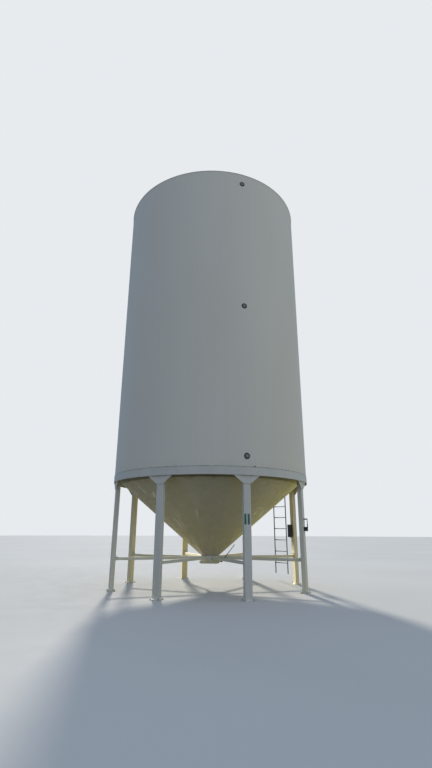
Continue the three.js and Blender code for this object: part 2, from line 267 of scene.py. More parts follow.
def along_path(points, section, ripple=0.0):
    """A bar along a line of points, with an outline in the XY plane for its section."""
    rings = []
    for index, point in enumerate(points):
        before = points[max(index - 1, 0)]
        after = points[min(index + 1, len(points) - 1)]
        turn = (after - before).to_track_quat("Z", "Y").to_matrix().to_4x4()
        swell = 1 + ripple if index % 2 else 1 - ripple
        rings.append([Matrix.Translation(point) @ turn @ (corner * swell) for corner in section])
    return loft(rings)


def rod(start, end, radius, steps=24):
    """A round bar with softened ends."""
    bar = along_path([Vector(start), Vector(end)], circle(radius, steps))
    return soften(bar, min(radius / 5, 0.002))


def weld(points, width):
    """A slightly rippled bead of weld along a line, half sunk in what it lies on."""
    dense = []
    for start, end in zip(points, points[1:]):
        count = max(int((end - start).length / RIPPLE), 1)
        dense += [start.lerp(end, step / count) for step in range(count)]
    dense.append(points[-1])
    return along_path(dense, circle(width / 2, 6), 0.12)


def hex_bolt(size, thread=0.0):
    """A hexagon head on a washer. Size is the shank's width, and thread stands out above."""
    washer_r = size * 1.1
    washer_t = size * 0.15
    head_top = washer_t + size * 0.65
    hexagon = circle(size * 0.9, 6)
    lift = Vector((0, 0, 1))
    parts = [
        spin([(0, -EMBED), (washer_r, -EMBED), (washer_r, washer_t), (0, washer_t)], 20),
        loft([
            [corner + lift * (washer_t - EMBED / 2) for corner in hexagon],
            [corner + lift * (head_top - size * 0.08) for corner in hexagon],
            [corner * 0.9 + lift * head_top for corner in hexagon],
        ]),
    ]
    if thread:
        top = head_top + thread
        half = size / 2
        shank = [(0, washer_t), (half, washer_t), (half, top - half / 5), (half * 0.8, top), (0, top)]
        parts.append(spin(shank, 16))
    return joined(parts)


def shown(name, shape, finish=None):
    """Makes a shape into an object of the scene."""
    mesh = bpy.data.meshes.new(name)
    shape.to_mesh(mesh)
    shape.free()
    if finish:
        mesh.materials.append(finish)
    made = bpy.data.objects.new(name, mesh)
    bpy.context.scene.collection.objects.link(made)
    return made


def cut(shape, cutter):
    """The shape with the cutter's space taken out of it."""
    for source in (shape, cutter):
        bmesh.ops.recalc_face_normals(source, faces=source.faces)
    body = shown("cut", shape)
    tool = shown("cut", cutter)
    modifier = body.modifiers.new("cut", "BOOLEAN")
    modifier.operation = "DIFFERENCE"
    modifier.solver = "EXACT"
    modifier.object = tool
    bpy.context.view_layer.update()
    result = bmesh.new()
    result.from_object(body, bpy.context.evaluated_depsgraph_get())
    for holder in (body, tool):
        mesh = holder.data
        bpy.data.objects.remove(holder)
        bpy.data.meshes.remove(mesh)
    return result


def piece(name, shape, finish, slot, *stands_for):
    """Makes a shape into a piece of the silo, which may stand for CAD nodes."""
    bmesh.ops.recalc_face_normals(shape, faces=shape.faces)
    made = shown(name, shape, finish)
    made.data.shade_smooth()
    made.data.set_sharp_from_angle(angle=SHARP)
    evened = made.modifiers.new("even_normals", "WEIGHTED_NORMAL")
    evened.keep_sharp = True
    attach(made, "root")
    if stands_for:
        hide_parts(*stands_for)


# Finishes, as node materials

class Nodes:
    """A node tree. Its methods add nodes, and most give an output to go on with."""

    def __init__(self, tree, coordinates):
        self.tree = tree
        self.place = self.add("TexCoord").outputs[coordinates]

    def add(self, kind, *values, **settings):
        """A shader node with its settings, and with values for its first sockets."""
        node = self.tree.nodes.new(f"ShaderNode{kind}")
        for name, value in settings.items():
            setattr(node, name, value)
        for socket, value in zip(node.inputs, values):
            self.feed(socket, value)
        return node

    def feed(self, socket, value):
        """Sets a socket to a number or colour, or links it to an output."""
        if isinstance(value, bpy.types.NodeSocket):
            self.tree.links.new(value, socket)
        elif isinstance(value, tuple) and len(value) == 3 and socket.type == "RGBA":
            socket.default_value = (*value, 1)
        else:
            socket.default_value = value

    def times(self, first, second):
        return self.add("Math", first, second, operation="MULTIPLY").outputs[0]

    def plus(self, first, second):
        return self.add("Math", first, second, operation="ADD").outputs[0]

    def vector(self, kind, *values):
        """A Vector Math node of the given kind."""
        node = self.add("VectorMath", *values, operation=kind)
        return node.outputs["Value" if kind == "DOT_PRODUCT" else "Vector"]

    def part(self, axis, of=None):
        """The X, Y or Z of a vector, or of the place."""
        return self.add("SeparateXYZ", of or self.place).outputs[axis]

    def down_the_slope(self, stretch, radius=2.0):
        """Coordinates that run round the axis at one radius, and are drawn out down a cone's slope."""
        around = self.vector("NORMALIZE", self.vector("MULTIPLY", self.place, (1, 1, 0)))
        spread = self.vector("MULTIPLY", around, (radius, radius, 0))
        rise = self.vector("MULTIPLY", self.place, (0, 0, 1 / stretch))
        return self.vector("ADD", spread, rise)

    def noise(self, size, tall=1, detail=3.0, rough=0.5, place=None):
        """Soft noise with blotches of a size, and so many times as tall."""
        scale = (1 / size, 1 / size, 1 / (size * tall))
        node = self.add("TexNoise", self.vector("MULTIPLY", place or self.place, scale))
        self.feed(node.inputs["Scale"], 1.0)
        self.feed(node.inputs["Detail"], detail)
        self.feed(node.inputs["Roughness"], rough)
        return node.outputs[0]

    def span(self, value, low, high, first=0.0, last=1.0):
        """Maps a value from low..high to first..last, held at the ends."""
        node = self.add("MapRange", value, low, high, first, last, interpolation_type="SMOOTHSTEP")
        return node.outputs[0]

    def patches(self, size, low=0.35, high=0.65, first=0.0, last=1.0, **kind):
        """Noise of a kind, mapped from low..high to first..last."""
        return self.span(self.noise(size, **kind), low, high, first, last)

    def blend(self, share, first, second, kind="MIX"):
        node = self.add("Mix", share, data_type="RGBA", blend_type=kind)
        self.feed(node.inputs[6], first)
        self.feed(node.inputs[7], second)
        return node.outputs[2]


class Finish(Nodes):
    """A material that is painted in layers."""

    def __init__(self, name, metallic=0.0, specular=0.5, coat=0.0):
        self.material = bpy.data.materials.new(name)
        self.material.use_nodes = True
        super().__init__(self.material.node_tree, "Object")
        self.shader = self.tree.nodes["Principled BSDF"]
        self.set("Metallic", metallic)
        self.set("Specular IOR Level", specular)
        self.set("Coat Weight", coat)
        self.colour = None
        self.normal = None

    def set(self, name, value):
        self.feed(self.shader.inputs[name], value)

    def base(self, first, second, share):
        """The first layer: two colours, and the second one's share."""
        self.colour = self.blend(share, first, second)

    def cover(self, colour, share, *factors):
        """A colour over what is there, by a share times any factors."""
        for factor in factors:
            share = self.times(share, factor)
        self.colour = self.blend(share, self.colour, colour)

    def relief(self, height, depth, strength=1.0):
        """Bump, on top of any that is there."""
        node = self.add("Bump")
        self.feed(node.inputs["Strength"], strength)
        self.feed(node.inputs["Distance"], depth)
        self.feed(node.inputs["Height"], height)
        if self.normal is not None:
            self.feed(node.inputs["Normal"], self.normal)
        self.normal = node.outputs[0]

    def bumps(self, size, depth, strength, **kind):
        """Bump from noise of a kind."""
        self.relief(self.noise(size, **kind), depth, strength)

    def sheen(self, size, low, high, **kind):
        """Roughness that wanders between two values."""
        return self.patches(size, 0.3, 0.7, low, high, **kind)

    def done(self, roughness):
        self.set("Base Color", self.colour)
        self.set("Roughness", roughness)
        if self.normal is not None:
            self.set("Normal", self.normal)
        return self.material


CREAM_PALE = (0.815, 0.79, 0.70)
CREAM_DEEP = (0.765, 0.74, 0.64)
# Painted light on legs and spokes: a cool cast at the front for skylight, a warm one at the back for light
# bounced from the field
FRONT_PAINTED_SKYLIGHT = (0.93, 0.96, 1.0)
BACK_PAINTED_WARM_LIGHT = (1.0, 0.95, 0.78)
BAND_PALE = (0.72, 0.72, 0.66)
BAND_DEEP = (0.67, 0.67, 0.60)
# The hopper's cream: darker than the wall's as painted shade, and paler at the top than low down as painted
# light
HOPPER_PALE_SHADED = (0.64, 0.605, 0.53)
HOPPER_DEEP_SHADED = (0.53, 0.50, 0.455)
PALE_MARK_COLOUR = (1.0, 1.0, 0.98)
DUST = (0.42, 0.38, 0.28)
# Dark of the grime in the seal, and of the painted shadow on the hopper under the band's foot
GRIME_AND_SHADOW = (0.12, 0.105, 0.085)
DRY_DIRT = (0.30, 0.275, 0.22)
RUST = (0.30, 0.115, 0.035)

# Heights over which a layer sets in
WALL_DUST = (2.80, 2.59)
# Heights over which the hopper's painted light turns from pale to deep
HOPPER_PAINTED_SHADE_SPAN = (2.5, 0.9)
HOPPER_RUST = (2.28, 2.44)
# Heights of the painted shadow on the hopper under the band's foot
HOPPER_PAINTED_SHADOW = (2.375, 2.405)
FOOT_SPLASH = (0.30, 0.02)
FOOT_RUST = (0.10, 0.02)

# Distances towards the back over which the painted light on legs and spokes turns from cool skylight to
# warm bounced light
WARM_LIGHT_SPAN = (-0.6, 1.2)


def wall_paint():
    """Satin cream with soft tones, a breath of rain streaks, and dust above the band."""
    look = Finish("wall_paint", specular=0.3)
    look.base(CREAM_PALE, CREAM_DEEP, look.patches(1.3, 0.3, 0.7, 0, 0.45, tall=3, detail=1.5))
    look.cover(DUST, look.patches(0.06, 0.50, 0.80, 0, 0.035, tall=60, detail=2))
    foot = look.span(look.part("Z"), *WALL_DUST, 0, 0.16)
    look.cover(DUST, foot, look.patches(0.05, 0.35, 0.75, tall=5))
    look.bumps(0.9, 0.004, 0.4, tall=2.5, detail=1)
    look.bumps(0.004, 0.0001, 0.3, detail=1)
    return look.done(look.sheen(0.4, 0.42, 0.50, tall=4))


def frame_paint():
    """Cream on legs and spokes, with painted light: bluish at the front and warm yellow at the back; with
    earth and rust near the feet.
    """
    look = Finish("frame_paint")
    look.base(CREAM_PALE, CREAM_DEEP, look.patches(0.3, tall=5))
    # Painted light: the cast runs from cool at the front to warm at the back
    painted_light = look.blend(look.span(look.part("Y"), *WARM_LIGHT_SPAN), FRONT_PAINTED_SKYLIGHT, BACK_PAINTED_WARM_LIGHT)
    look.colour = look.blend(1.0, look.colour, painted_light, "MULTIPLY")
    look.cover(DUST, look.patches(0.02, 0.55, 0.8, 0, 0.12, tall=40, detail=2))
    height = look.part("Z")
    splash = look.times(look.span(height, *FOOT_SPLASH), look.patches(0.04, 0.42, 0.72))
    look.cover(DUST, splash, 0.45)
    flecks = look.patches(0.014, 0.64, 0.74, detail=4, rough=0.6)
    look.cover(RUST, flecks, look.span(height, *FOOT_RUST, 0, 0.8))
    look.bumps(0.12, 0.0015, 0.4, tall=4, detail=1)
    look.bumps(0.003, 0.0001, 0.4, detail=1)
    return look.done(look.plus(look.sheen(0.09, 0.38, 0.50), look.times(splash, 0.3)))


def band_paint():
    """Cream on the band, with dirt over its top edge and rust at its foot."""
    look = Finish("band_paint")
    look.base(BAND_PALE, BAND_DEEP, look.patches(0.5, tall=3))
    height = look.part("Z")
    top = look.span(height, BAND_TOP - 0.034, BAND_TOP)
    look.cover(DUST, top, look.patches(0.03, 0.35, 0.7, tall=3), 0.6)
    look.cover(DUST, look.patches(0.025, 0.56, 0.8, tall=12, detail=2), 0.3)
    foot = look.span(height, BAND_BOTTOM + 0.014, BAND_BOTTOM)
    look.cover(RUST, foot, look.patches(0.05, 0.52, 0.7), 0.7)
    look.bumps(0.25, 0.002, 0.4, detail=1)
    look.bumps(0.003, 0.0001, 0.4, detail=1)
    return look.done(look.sheen(0.08, 0.36, 0.48))


# Each pale mark's azimuth, height, length, width and tilt from the slope
PALE_MARKS = (
    (-49.1, 2.259, 0.18, 0.045, 10),
    (-48.7, 2.169, 0.19, 0.065, -18),
    (-40.7, 2.076, 0.24, 0.090, 35),
    (-39.2, 1.486, 0.42, 0.040, 0),
    (-8.9, 1.660, 0.34, 0.026, 4),
    (64.6, 1.711, 0.32, 0.042, -24),
    (54.0, 1.809, 0.22, 0.022, 73),
    (53.0, 1.690, 0.16, 0.030, 6),
)


def pale_mark_mask(look, azimuth, height, length, width, tilt):
    """One pale mark on the hopper, as a share: an oblong with a ragged edge."""
    centre = polar(azimuth, hopper_radius(height), height)
    uphill = polar(azimuth, 1, HOPPER_SLOPE).normalized()
    level = polar(azimuth + 90, 1, 0)
    turn = radians(tilt)
    along = (uphill * cos(turn) + level * sin(turn)) / (length / 2)
    across = (level * cos(turn) - uphill * sin(turn)) / (width / 2)
    from_centre = look.vector("SUBTRACT", look.place, tuple(centre))
    parts = [look.vector("DOT_PRODUCT", from_centre, tuple(axis)) for axis in (along, across)]
    far = look.plus(*(look.times(part, part) for part in parts))
    ragged = look.plus(far, look.patches(0.02, 0.3, 0.7, -0.5, 0.6))
    return look.span(ragged, 1.2, 0.6)


def hopper_paint():
    """Gloss cream, darker than the wall's as painted shade and paler at the top than low down as painted
    light, with runs and pale marks, rust-stained under the band, and a painted shadow line right under the
    band's foot.
    """
    look = Finish("hopper_paint")
    slope = look.down_the_slope(30)
    height = look.part("Z")
    mottle = look.patches(0.8, 0.3, 0.7, -0.1, 0.1, place=slope, detail=1)
    # Painted shade and light: a darker cream than the wall's, paler at the top than low down
    look.base(HOPPER_PALE_SHADED, HOPPER_DEEP_SHADED, look.plus(look.span(height, *HOPPER_PAINTED_SHADE_SPAN), mottle))
    look.cover(DUST, look.patches(0.12, 0.5, 0.8, 0, 0.06, place=slope, detail=1))
    look.cover(RUST, look.span(height, *HOPPER_RUST), look.patches(0.16, 0.44, 0.70), 0.5)
    # Painted shadow: a dark line on the hopper right under the band's foot
    look.cover(GRIME_AND_SHADOW, look.span(height, *HOPPER_PAINTED_SHADOW, 0, 0.75))
    look.bumps(0.9, 0.003, 0.4, detail=1)
    # Near-white, slightly raised oblong marks at the listed places
    for mark in PALE_MARKS:
        pale_share = pale_mark_mask(look, *mark)
        look.cover(PALE_MARK_COLOUR, pale_share)
        look.relief(pale_share, 0.0005)
    look.bumps(0.004, 0.0001, 0.3, detail=1)
    return look.done(look.sheen(0.35, 0.25, 0.30, detail=1))


def roof_paint():
    """Cream on the roof, weathered, with runs down the slope."""
    look = Finish("roof_paint")
    slope = look.down_the_slope(25)
    look.base(CREAM_PALE, CREAM_DEEP, look.patches(0.4, place=slope, detail=1.5))
    look.cover(DUST, look.patches(0.04, 0.5, 0.8, place=slope), 0.30)
    look.cover(DUST, look.patches(0.09, 0.58, 0.75, detail=5, rough=0.65), 0.35)
    look.bumps(0.4, 0.004, 0.4, detail=1)
    look.bumps(0.004, 0.0001, 0.35, detail=1)
    return look.done(look.sheen(0.2, 0.38, 0.52))


def zinc_coat(name, dark, light):
    """Zinc with its spangle, dulled here and there."""
    look = Finish(name, metallic=0.85)
    cells_per_metre = 70
    cells = look.add("TexVoronoi", look.vector("MULTIPLY", look.place, (cells_per_metre,) * 3))
    look.feed(cells.inputs["Scale"], 1.0)
    grey = look.add("SeparateColor", cells.outputs["Color"])
    look.base(dark, light, grey.outputs[0])
    dull = look.patches(0.08, 0.42, 0.68, detail=4)
    look.cover(tuple(part * 0.8 for part in dark), dull, 0.55)
    look.bumps(0.006, 0.0002, 0.4)
    return look.done(look.plus(look.span(grey.outputs[1], 0, 1, 0.34, 0.48), look.times(dull, 0.15)))


def rusty_steel():
    """Bare steel bar, rusted brown all over."""
    look = Finish("rusty_steel", metallic=0.2)
    look.base((0.035, 0.026, 0.020), (0.10, 0.055, 0.032), look.patches(0.02, detail=5))
    look.bumps(0.004, 0.0004, 0.6, detail=4)
    return look.done(look.sheen(0.01, 0.6, 0.8))


def black_enamel():
    """Dark enamel with dust where it faces up, and worn grey in flecks."""
    look = Finish("black_enamel")
    look.base((0.022, 0.022, 0.025), (0.04, 0.04, 0.043), look.patches(0.05))
    look.cover((0.16, 0.155, 0.15), look.patches(0.008, 0.64, 0.72, detail=5, rough=0.7), 0.6)
    upward = look.part("Z", look.add("NewGeometry").outputs["Normal"])
    look.cover(DUST, look.span(upward, 0.2, 1.0), look.patches(0.02, 0.3, 0.7), 0.5)
    look.bumps(0.002, 0.0002, 0.4)
    return look.done(look.sheen(0.03, 0.34, 0.52))


def lens_glass():
    """Clouded dark glass of the sight glasses."""
    look = Finish("lens_glass", specular=0.6, coat=0.6)
    look.base((0.15, 0.16, 0.17), (0.24, 0.25, 0.25), look.patches(0.02, 0.35, 0.7, detail=4))
    look.bumps(0.03, 0.0006, 0.3)
    return look.done(look.sheen(0.012, 0.12, 0.28))


def gasket_rubber():
    """Perished black rubber."""
    look = Finish("gasket_rubber", specular=0.3)
    look.base((0.02, 0.02, 0.02), (0.055, 0.053, 0.05), look.patches(0.01))
    look.bumps(0.003, 0.0003, 0.5)
    return look.done(look.sheen(0.02, 0.6, 0.8))


def packed_dirt():
    """Dirt and old sealant in the corner above the band."""
    look = Finish("packed_dirt", specular=0.2)
    look.base(GRIME_AND_SHADOW, DRY_DIRT, look.patches(0.06, 0.38, 0.62, detail=5))
    look.bumps(0.008, 0.001, 0.7, detail=4)
    return look.done(look.sheen(0.03, 0.8, 0.95))


def green_enamel():
    """Green brushed paint."""
    look = Finish("green_enamel")
    brush = look.patches(0.004, tall=30)
    look.base((0.030, 0.13, 0.095), (0.045, 0.20, 0.13), brush)
    look.relief(brush, 0.0002, 0.4)
    return look.done(look.sheen(0.02, 0.38, 0.52))


FLOOR_PALE = (0.70, 0.69, 0.65)
FLOOR_DEEP = (0.66, 0.65, 0.61)
SHADED_GROUND = (0.150, 0.148, 0.106)
SUNNY_GROUND = (0.50, 0.44, 0.14)

# Distances along X and Y over which the ground turns sunny
SUNNY_X = (-4.0, -1.0)
SUNNY_Y = (-3.0, -1.2)


def pale_floor():
    """A pale floor, which lights the silo as a field would: warmly from behind."""
    look = Finish("pale_floor", specular=0.2)
    look.base(FLOOR_PALE, FLOOR_DEEP, look.patches(6.0, 0.3, 0.7, detail=2))
    sunny = look.times(look.span(look.part("Y"), *SUNNY_Y), look.span(look.part("X"), *SUNNY_X))
    field = look.blend(sunny, SHADED_GROUND, SUNNY_GROUND)
    seen = look.add("LightPath").outputs["Is Camera Ray"]
    look.colour = look.blend(seen, field, look.colour)
    look.bumps(0.03, 0.0005, 0.3)
    return look.done(look.sheen(0.5, 0.85, 0.95))


# The camera, fitted to the photograph

IMAGE_HEIGHT = 768
FOCAL_PX = 445.7
SENSOR = 36
CAMERA_AZIMUTH = 4
CAMERA_DISTANCE = 11.796
CAMERA_HEIGHT = 1.27
CAMERA_PITCH = 18.39
CAMERA_YAW = 0.635
CAMERA_ROLL = 0.21


def make_camera():
    data = bpy.data.cameras.new("camera")
    data.sensor_fit = "AUTO"
    data.sensor_width = SENSOR
    data.lens = FOCAL_PX * SENSOR / IMAGE_HEIGHT
    data.clip_end = 500
    camera = bpy.data.objects.new("camera", data)
    stand = facing(CAMERA_AZIMUTH) @ at(0, -CAMERA_DISTANCE, CAMERA_HEIGHT)
    camera.matrix_world = stand @ facing(-CAMERA_YAW) @ facing(90 + CAMERA_PITCH, "X") @ facing(CAMERA_ROLL)
    bpy.context.scene.collection.objects.link(camera)
    bpy.context.scene.camera = camera


# The light: a blue sky, and a low sun from behind that is weak on the wall and strong below

BACKDROP = (0.80, 0.83, 0.86)
SKY_LEFT = (0.21, 0.295, 0.45)
SKY_RIGHT = (0.51, 0.565, 0.675)
SKY_BEHIND = (0.28, 0.38, 0.54)

# A direction's X and Y, over which the sky's colour turns
TO_THE_RIGHT = (-1.0, 0.3)
TO_THE_BACK = (-0.1, 0.5)

SUN_COLOUR = (1.0, 0.95, 0.86)
SUN_SOFTNESS = radians(5)
LEG_SUN = {"azimuth": 228, "elevation": 33.5, "strength": 7.0}
WALL_SUN = {"azimuth": 192, "elevation": 28, "strength": 2.6}
UPPER_BODY = ("wall_", "band_", "sight_", "roof_", "neck_", "lid_", "hatch_", "floor")
SHADED_LEG = "leg_skin_7"


def make_sun(name, receives, azimuth, elevation, strength):
    """A sun that lights only the pieces whose names pass a rule."""
    data = bpy.data.lights.new(name, "SUN")
    data.color = SUN_COLOUR
    data.energy = strength
    data.angle = SUN_SOFTNESS
    sun = bpy.data.objects.new(name, data)
    rise = radians(elevation)
    sun.rotation_euler = polar(azimuth, cos(rise), sin(rise)).to_track_quat("Z", "Y").to_euler()
    bpy.context.scene.collection.objects.link(sun)
    lit = bpy.data.collections.new(f"{name}_receivers")
    for item in bpy.context.scene.objects:
        if item.type == "MESH" and receives(item.name):
            lit.objects.link(item)
    sun.light_linking.receiver_collection = lit


def make_light():
    world = bpy.data.worlds.new("studio")
    bpy.context.scene.world = world
    world.use_nodes = True
    world.node_tree.nodes.clear()
    sky = Nodes(world.node_tree, "Generated")
    front = sky.blend(sky.span(sky.part("X"), *TO_THE_RIGHT), SKY_LEFT, SKY_RIGHT)
    around = sky.blend(sky.span(sky.part("Y"), *TO_THE_BACK), front, SKY_BEHIND)
    lit = sky.add("Background", around).outputs[0]
    shown_behind = sky.add("Background", BACKDROP).outputs[0]
    seen = sky.add("LightPath").outputs["Is Camera Ray"]
    choice = sky.add("MixShader", seen, lit, shown_behind)
    sky.add("OutputWorld", choice.outputs[0])
    make_sun("leg_sun", lambda name: not name.startswith(UPPER_BODY) and name != SHADED_LEG, **LEG_SUN)
    make_sun("wall_sun", lambda name: name.startswith(UPPER_BODY), **WALL_SUN)
    bpy.context.scene.view_settings.view_transform = "Standard"


FLOOR_R = 160
FLOOR_DROP = 0.0005


def make_floor(finish):
    shape = bmesh.new()
    low = at(0, 0, -FLOOR_DROP)
    bmesh.ops.create_circle(shape, cap_ends=True, radius=FLOOR_R, segments=128, matrix=low)
    floor = shown("floor", shape, finish)


# The wall, hopper, band and roof

PANELS = 4
SECTOR = 360 / PANELS
EDGE = 0.0012


def make_panels(kind, profile, finish):
    """Panels side by side round the silo, from one profile."""
    for index in range(PANELS):
        shape = sweep(profile, PANEL_STEPS, index * SECTOR, SECTOR)
        piece(f"{kind}_skin_{index + 1}", shape, finish, CREAM, f"{kind}_panel_{index + 1}")


def make_wall(finish):
    make_panels("wall", [
        (WALL_R, WALL_BOTTOM),
        (WALL_R, WALL_TOP - EDGE),
        (WALL_R - EDGE, WALL_TOP),
        (WALL_R - SHEET, WALL_TOP),
        (WALL_R - SHEET, WALL_BOTTOM),
    ], finish)


COURSES = 5
COURSE_SHEETS = 3
COURSE_SHIFT = 40
FIRST_SEAM = 75
SEAM_W = 0.009
SEAM_RISE = 0.0006

# A seam's section: shares of its width, and how far it stands out
SEAM = ((-0.5, -EMBED), (-0.25, SEAM_RISE * 0.7), (0, SEAM_RISE), (0.25, SEAM_RISE * 0.7), (0.5, -EMBED))


def make_wall_seams(finish):
    """Welds between the wall's sheets, ground nearly flat: level and staggered upright ones."""
    course = (WALL_TOP - WALL_BOTTOM) / COURSES
    seams = []
    for level in range(1, COURSES):
        height = WALL_BOTTOM + level * course
        profile = [(WALL_R + out, height + SEAM_W * share) for share, out in SEAM]
        seams.append(sweep(profile, RING_STEPS // 2))
    width = degrees(SEAM_W / WALL_R)
    for level in range(COURSES):
        low = WALL_BOTTOM + level * course
        for sheet in range(COURSE_SHEETS):
            azimuth = FIRST_SEAM + sheet * 360 / COURSE_SHEETS + level * COURSE_SHIFT
            seams.append(loft([
                [polar(azimuth + width * share, WALL_R + out, height) for share, out in SEAM]
                for height in (low + EMBED, low + course - EMBED)
            ]))
    piece("wall_seams", joined(seams), finish, CREAM)


def make_band(finish):
    flange_r = WALL_R - BAND_FLANGE
    inner = BAND_R - BAND_SHEET
    soft = 0.002
    profile = [
        (BAND_R - soft, BAND_BOTTOM),
        (BAND_R - soft * 0.3, BAND_BOTTOM + soft * 0.3),
        (BAND_R, BAND_BOTTOM + soft),
        (BAND_R, BAND_TOP - soft),
        (BAND_R - soft * 0.3, BAND_TOP - soft * 0.3),
        (BAND_R - soft, BAND_TOP),
        (flange_r, BAND_TOP),
        (flange_r, BAND_TOP - BAND_FLANGE_T),
        (inner, BAND_TOP - BAND_FLANGE_T),
        (inner, BAND_BOTTOM + soft / 2),
        (inner + soft / 2, BAND_BOTTOM),
    ]
    piece("band_skin", sweep(profile, RING_STEPS), finish, CREAM, "band_ring")


SEAL_STEPS = 1080
SEAL_RISE = 0.009

# Each lump's azimuth and rise, and the width of all
SEAL_LUMPS = ((26.7, 0.018), (34.6, 0.008), (48.5, 0.006))
LUMP_W = 0.03


def make_seal(finish):
    """The line of dirt and sealant on the band's top edge, with a few lumps."""
    rings = []
    for step in range(SEAL_STEPS):
        azimuth = 360 * step / SEAL_STEPS
        wander = noise.noise(polar(azimuth, 30, 0)) + 0.5 * noise.noise(polar(azimuth, 95, 7))
        rise = SEAL_RISE * (1 + 0.2 * wander)
        for lump, lump_rise in SEAL_LUMPS:
            away = radians((azimuth - lump + 180) % 360 - 180) * WALL_R
            rise += lump_rise * exp(-(away / LUMP_W) ** 2)
        reach = min(0.0045 + 0.25 * rise, BAND_SHEET - 0.0015)
        section = [
            (-EMBED, -EMBED), (reach, -EMBED), (reach * 0.92, rise * 0.35), (reach * 0.45, rise * 0.85),
            (-EMBED, rise),
        ]
        rings.append([polar(azimuth, WALL_R + out, BAND_TOP + up) for out, up in section])
    piece("band_seal", loft(rings, cyclic=True), finish, DARK)


def make_hopper(finish):
    run = SHEET * hypot(1, HOPPER_SLOPE) / HOPPER_SLOPE
    low_r = hopper_radius(HOPPER_BOTTOM)
    high_r = hopper_radius(HOPPER_TOP)
    make_panels("hopper", [
        (low_r, HOPPER_BOTTOM),
        (high_r, HOPPER_TOP),
        (high_r - run, HOPPER_TOP),
        (low_r - run, HOPPER_BOTTOM),
    ], finish)


HOPPER_SEAM_W = 0.004


def cone_seams(count, ends, height, width):
    """Weld beads along a cone's slope, between two radii."""
    return joined([
        weld([polar(index * 360 / count, radius, height(radius)) for radius in ends], width)
        for index in range(count)
    ])


def make_hopper_seams(finish):
    ends = (hopper_radius(HOPPER_BOTTOM) + 0.03, hopper_radius(BAND_BOTTOM + 0.05))
    piece("hopper_seams", cone_seams(PANELS, ends, hopper_height, HOPPER_SEAM_W), finish, CREAM)


ROOF_SEAMS = 12
ROOF_SEAM_W = 0.008


def make_roof(finish):
    """The roof's cone, with the hatch's hole cut through it."""
    rise = SHEET * hypot(1, ROOF_SLOPE)
    seat = ROOF_R - 0.021
    cone = sweep([
        (ROOF_R, ROOF_EDGE),
        (ROOF_R, ROOF_EDGE + rise - EDGE),
        (ROOF_R - EDGE, roof_height(ROOF_R - EDGE)),
        (ROOF_HOLE_R, roof_height(ROOF_HOLE_R)),
        (ROOF_HOLE_R, roof_height(ROOF_HOLE_R) - rise),
        (seat, roof_height(seat) - rise),
        (seat, ROOF_EDGE),
    ], RING_STEPS // 2)
    below = ROOF_EDGE - 0.5
    above = ROOF_EDGE + 1
    bore = spin([(0, below), (HATCH_HOLE_R, below), (HATCH_HOLE_R, above), (0, above)],
                SMALL_STEPS, HATCH_PLACE)
    piece("roof_skin", cut(cone, bore), finish, CREAM, "roof_cone")


def make_roof_seams(finish):
    ends = (ROOF_R - 0.01, ROOF_HOLE_R + 0.015)
    piece("roof_seams", cone_seams(ROOF_SEAMS, ends, roof_height, ROOF_SEAM_W), finish, CREAM)


# Legs and spokes

def make_at_legs(kind, template, finish):
    """A piece at each leg, from a template that is modelled at the front."""
    for number in range(1, LEGS + 1):
        shape = joined([template.copy()], leg_place(number))
        piece(f"{kind}_skin_{number}", shape, finish, CREAM, f"{kind}_{number}")
    template.free()


def leg_ring(grow, height):
    """The post's outline at a height: a number, or a rule for each distance from the axis."""
    points = []
    for corner in rounded_rectangle(LEG_W / 2 + grow, LEG_D / 2 + grow, 0.010 + max(grow, 0)):
        point = corner + Vector((0, LEG_Y, 0))
        point.z = height(hypot(point.x, point.y)) if callable(height) else height
        points.append(point)
    return points


def leg_shape():
    """A post cut to the hopper's slope, with gusset, foot plate and welds."""
    clear = 0.0022
    head = hopper_height(LEG_FACE) - clear
    half = LEG_W / 2
    flare_foot = BAND_BOTTOM - GUSSET_FLARE
    outline = [
        (-half, flare_foot), (half, flare_foot), (GUSSET_HALF, BAND_BOTTOM), (GUSSET_HALF, head),
        (-GUSSET_HALF, head), (-GUSSET_HALF, BAND_BOTTOM),
    ]
    front = -LEG_FACE - GUSSET_T
    foot_weld = 0.007
    return joined([
        loft([leg_ring(0, FOOT_T - EMBED), leg_ring(0, lambda radius: hopper_height(radius) - clear)]),
        slab([Vector((x, front, z)) for x, z in outline], Vector((0, GUSSET_T, 0)), 0.002),
        brick((-FOOT_W / 2, LEG_Y - FOOT_D / 2, 0), (FOOT_W / 2, LEG_Y + FOOT_D / 2, FOOT_T), 0.002),
        loft([
            leg_ring(-EMBED, FOOT_T - EMBED / 2),
            leg_ring(foot_weld, FOOT_T - EMBED / 2),
            leg_ring(foot_weld * 0.55, FOOT_T + foot_weld * 0.55),
            leg_ring(0, FOOT_T + foot_weld),
            leg_ring(-EMBED, FOOT_T + foot_weld),
        ], cyclic=True),
        *(weld([Vector((x, -LEG_FACE - 0.0005, z)) for z in (flare_foot + 0.004, head - 0.01)], 0.009)
          for x in (-half, half)),
    ])


ANCHOR_X = 0.090
ANCHOR_Y = 0.072
ANCHOR_TURN = 17


def make_bolts(name, bolt, places, finish):
    """The same bolts at every leg, at places that are given at the front."""
    numbers = range(1, LEGS + 1)
    shape = repeated(bolt, [leg_place(number) @ place for number in numbers for place in places])
    piece(name, shape, finish, ZINC)


def make_anchors(finish):
    """Four anchor bolts through each foot plate."""
    rows = (LEG_Y - ANCHOR_Y, LEG_Y + ANCHOR_Y)
    places = [at(side * ANCHOR_X, y, FOOT_T) @ facing(side * ANCHOR_TURN) for side in (-1, 1) for y in rows]
    make_bolts("anchor_bolts", hex_bolt(0.014, thread=0.012), places, finish)


SPOKE_INNER = 0.2323
SPOKE_OUTER = LEG_FACE - LEG_D - GAP
SPOKE_CORNER = 0.007
CLEAT_HALF = 0.055
CLEAT_LEG = 0.062
CLEAT_T = 0.006
END_HALF = 0.045
END_T = 0.008
END_REACH = 0.012


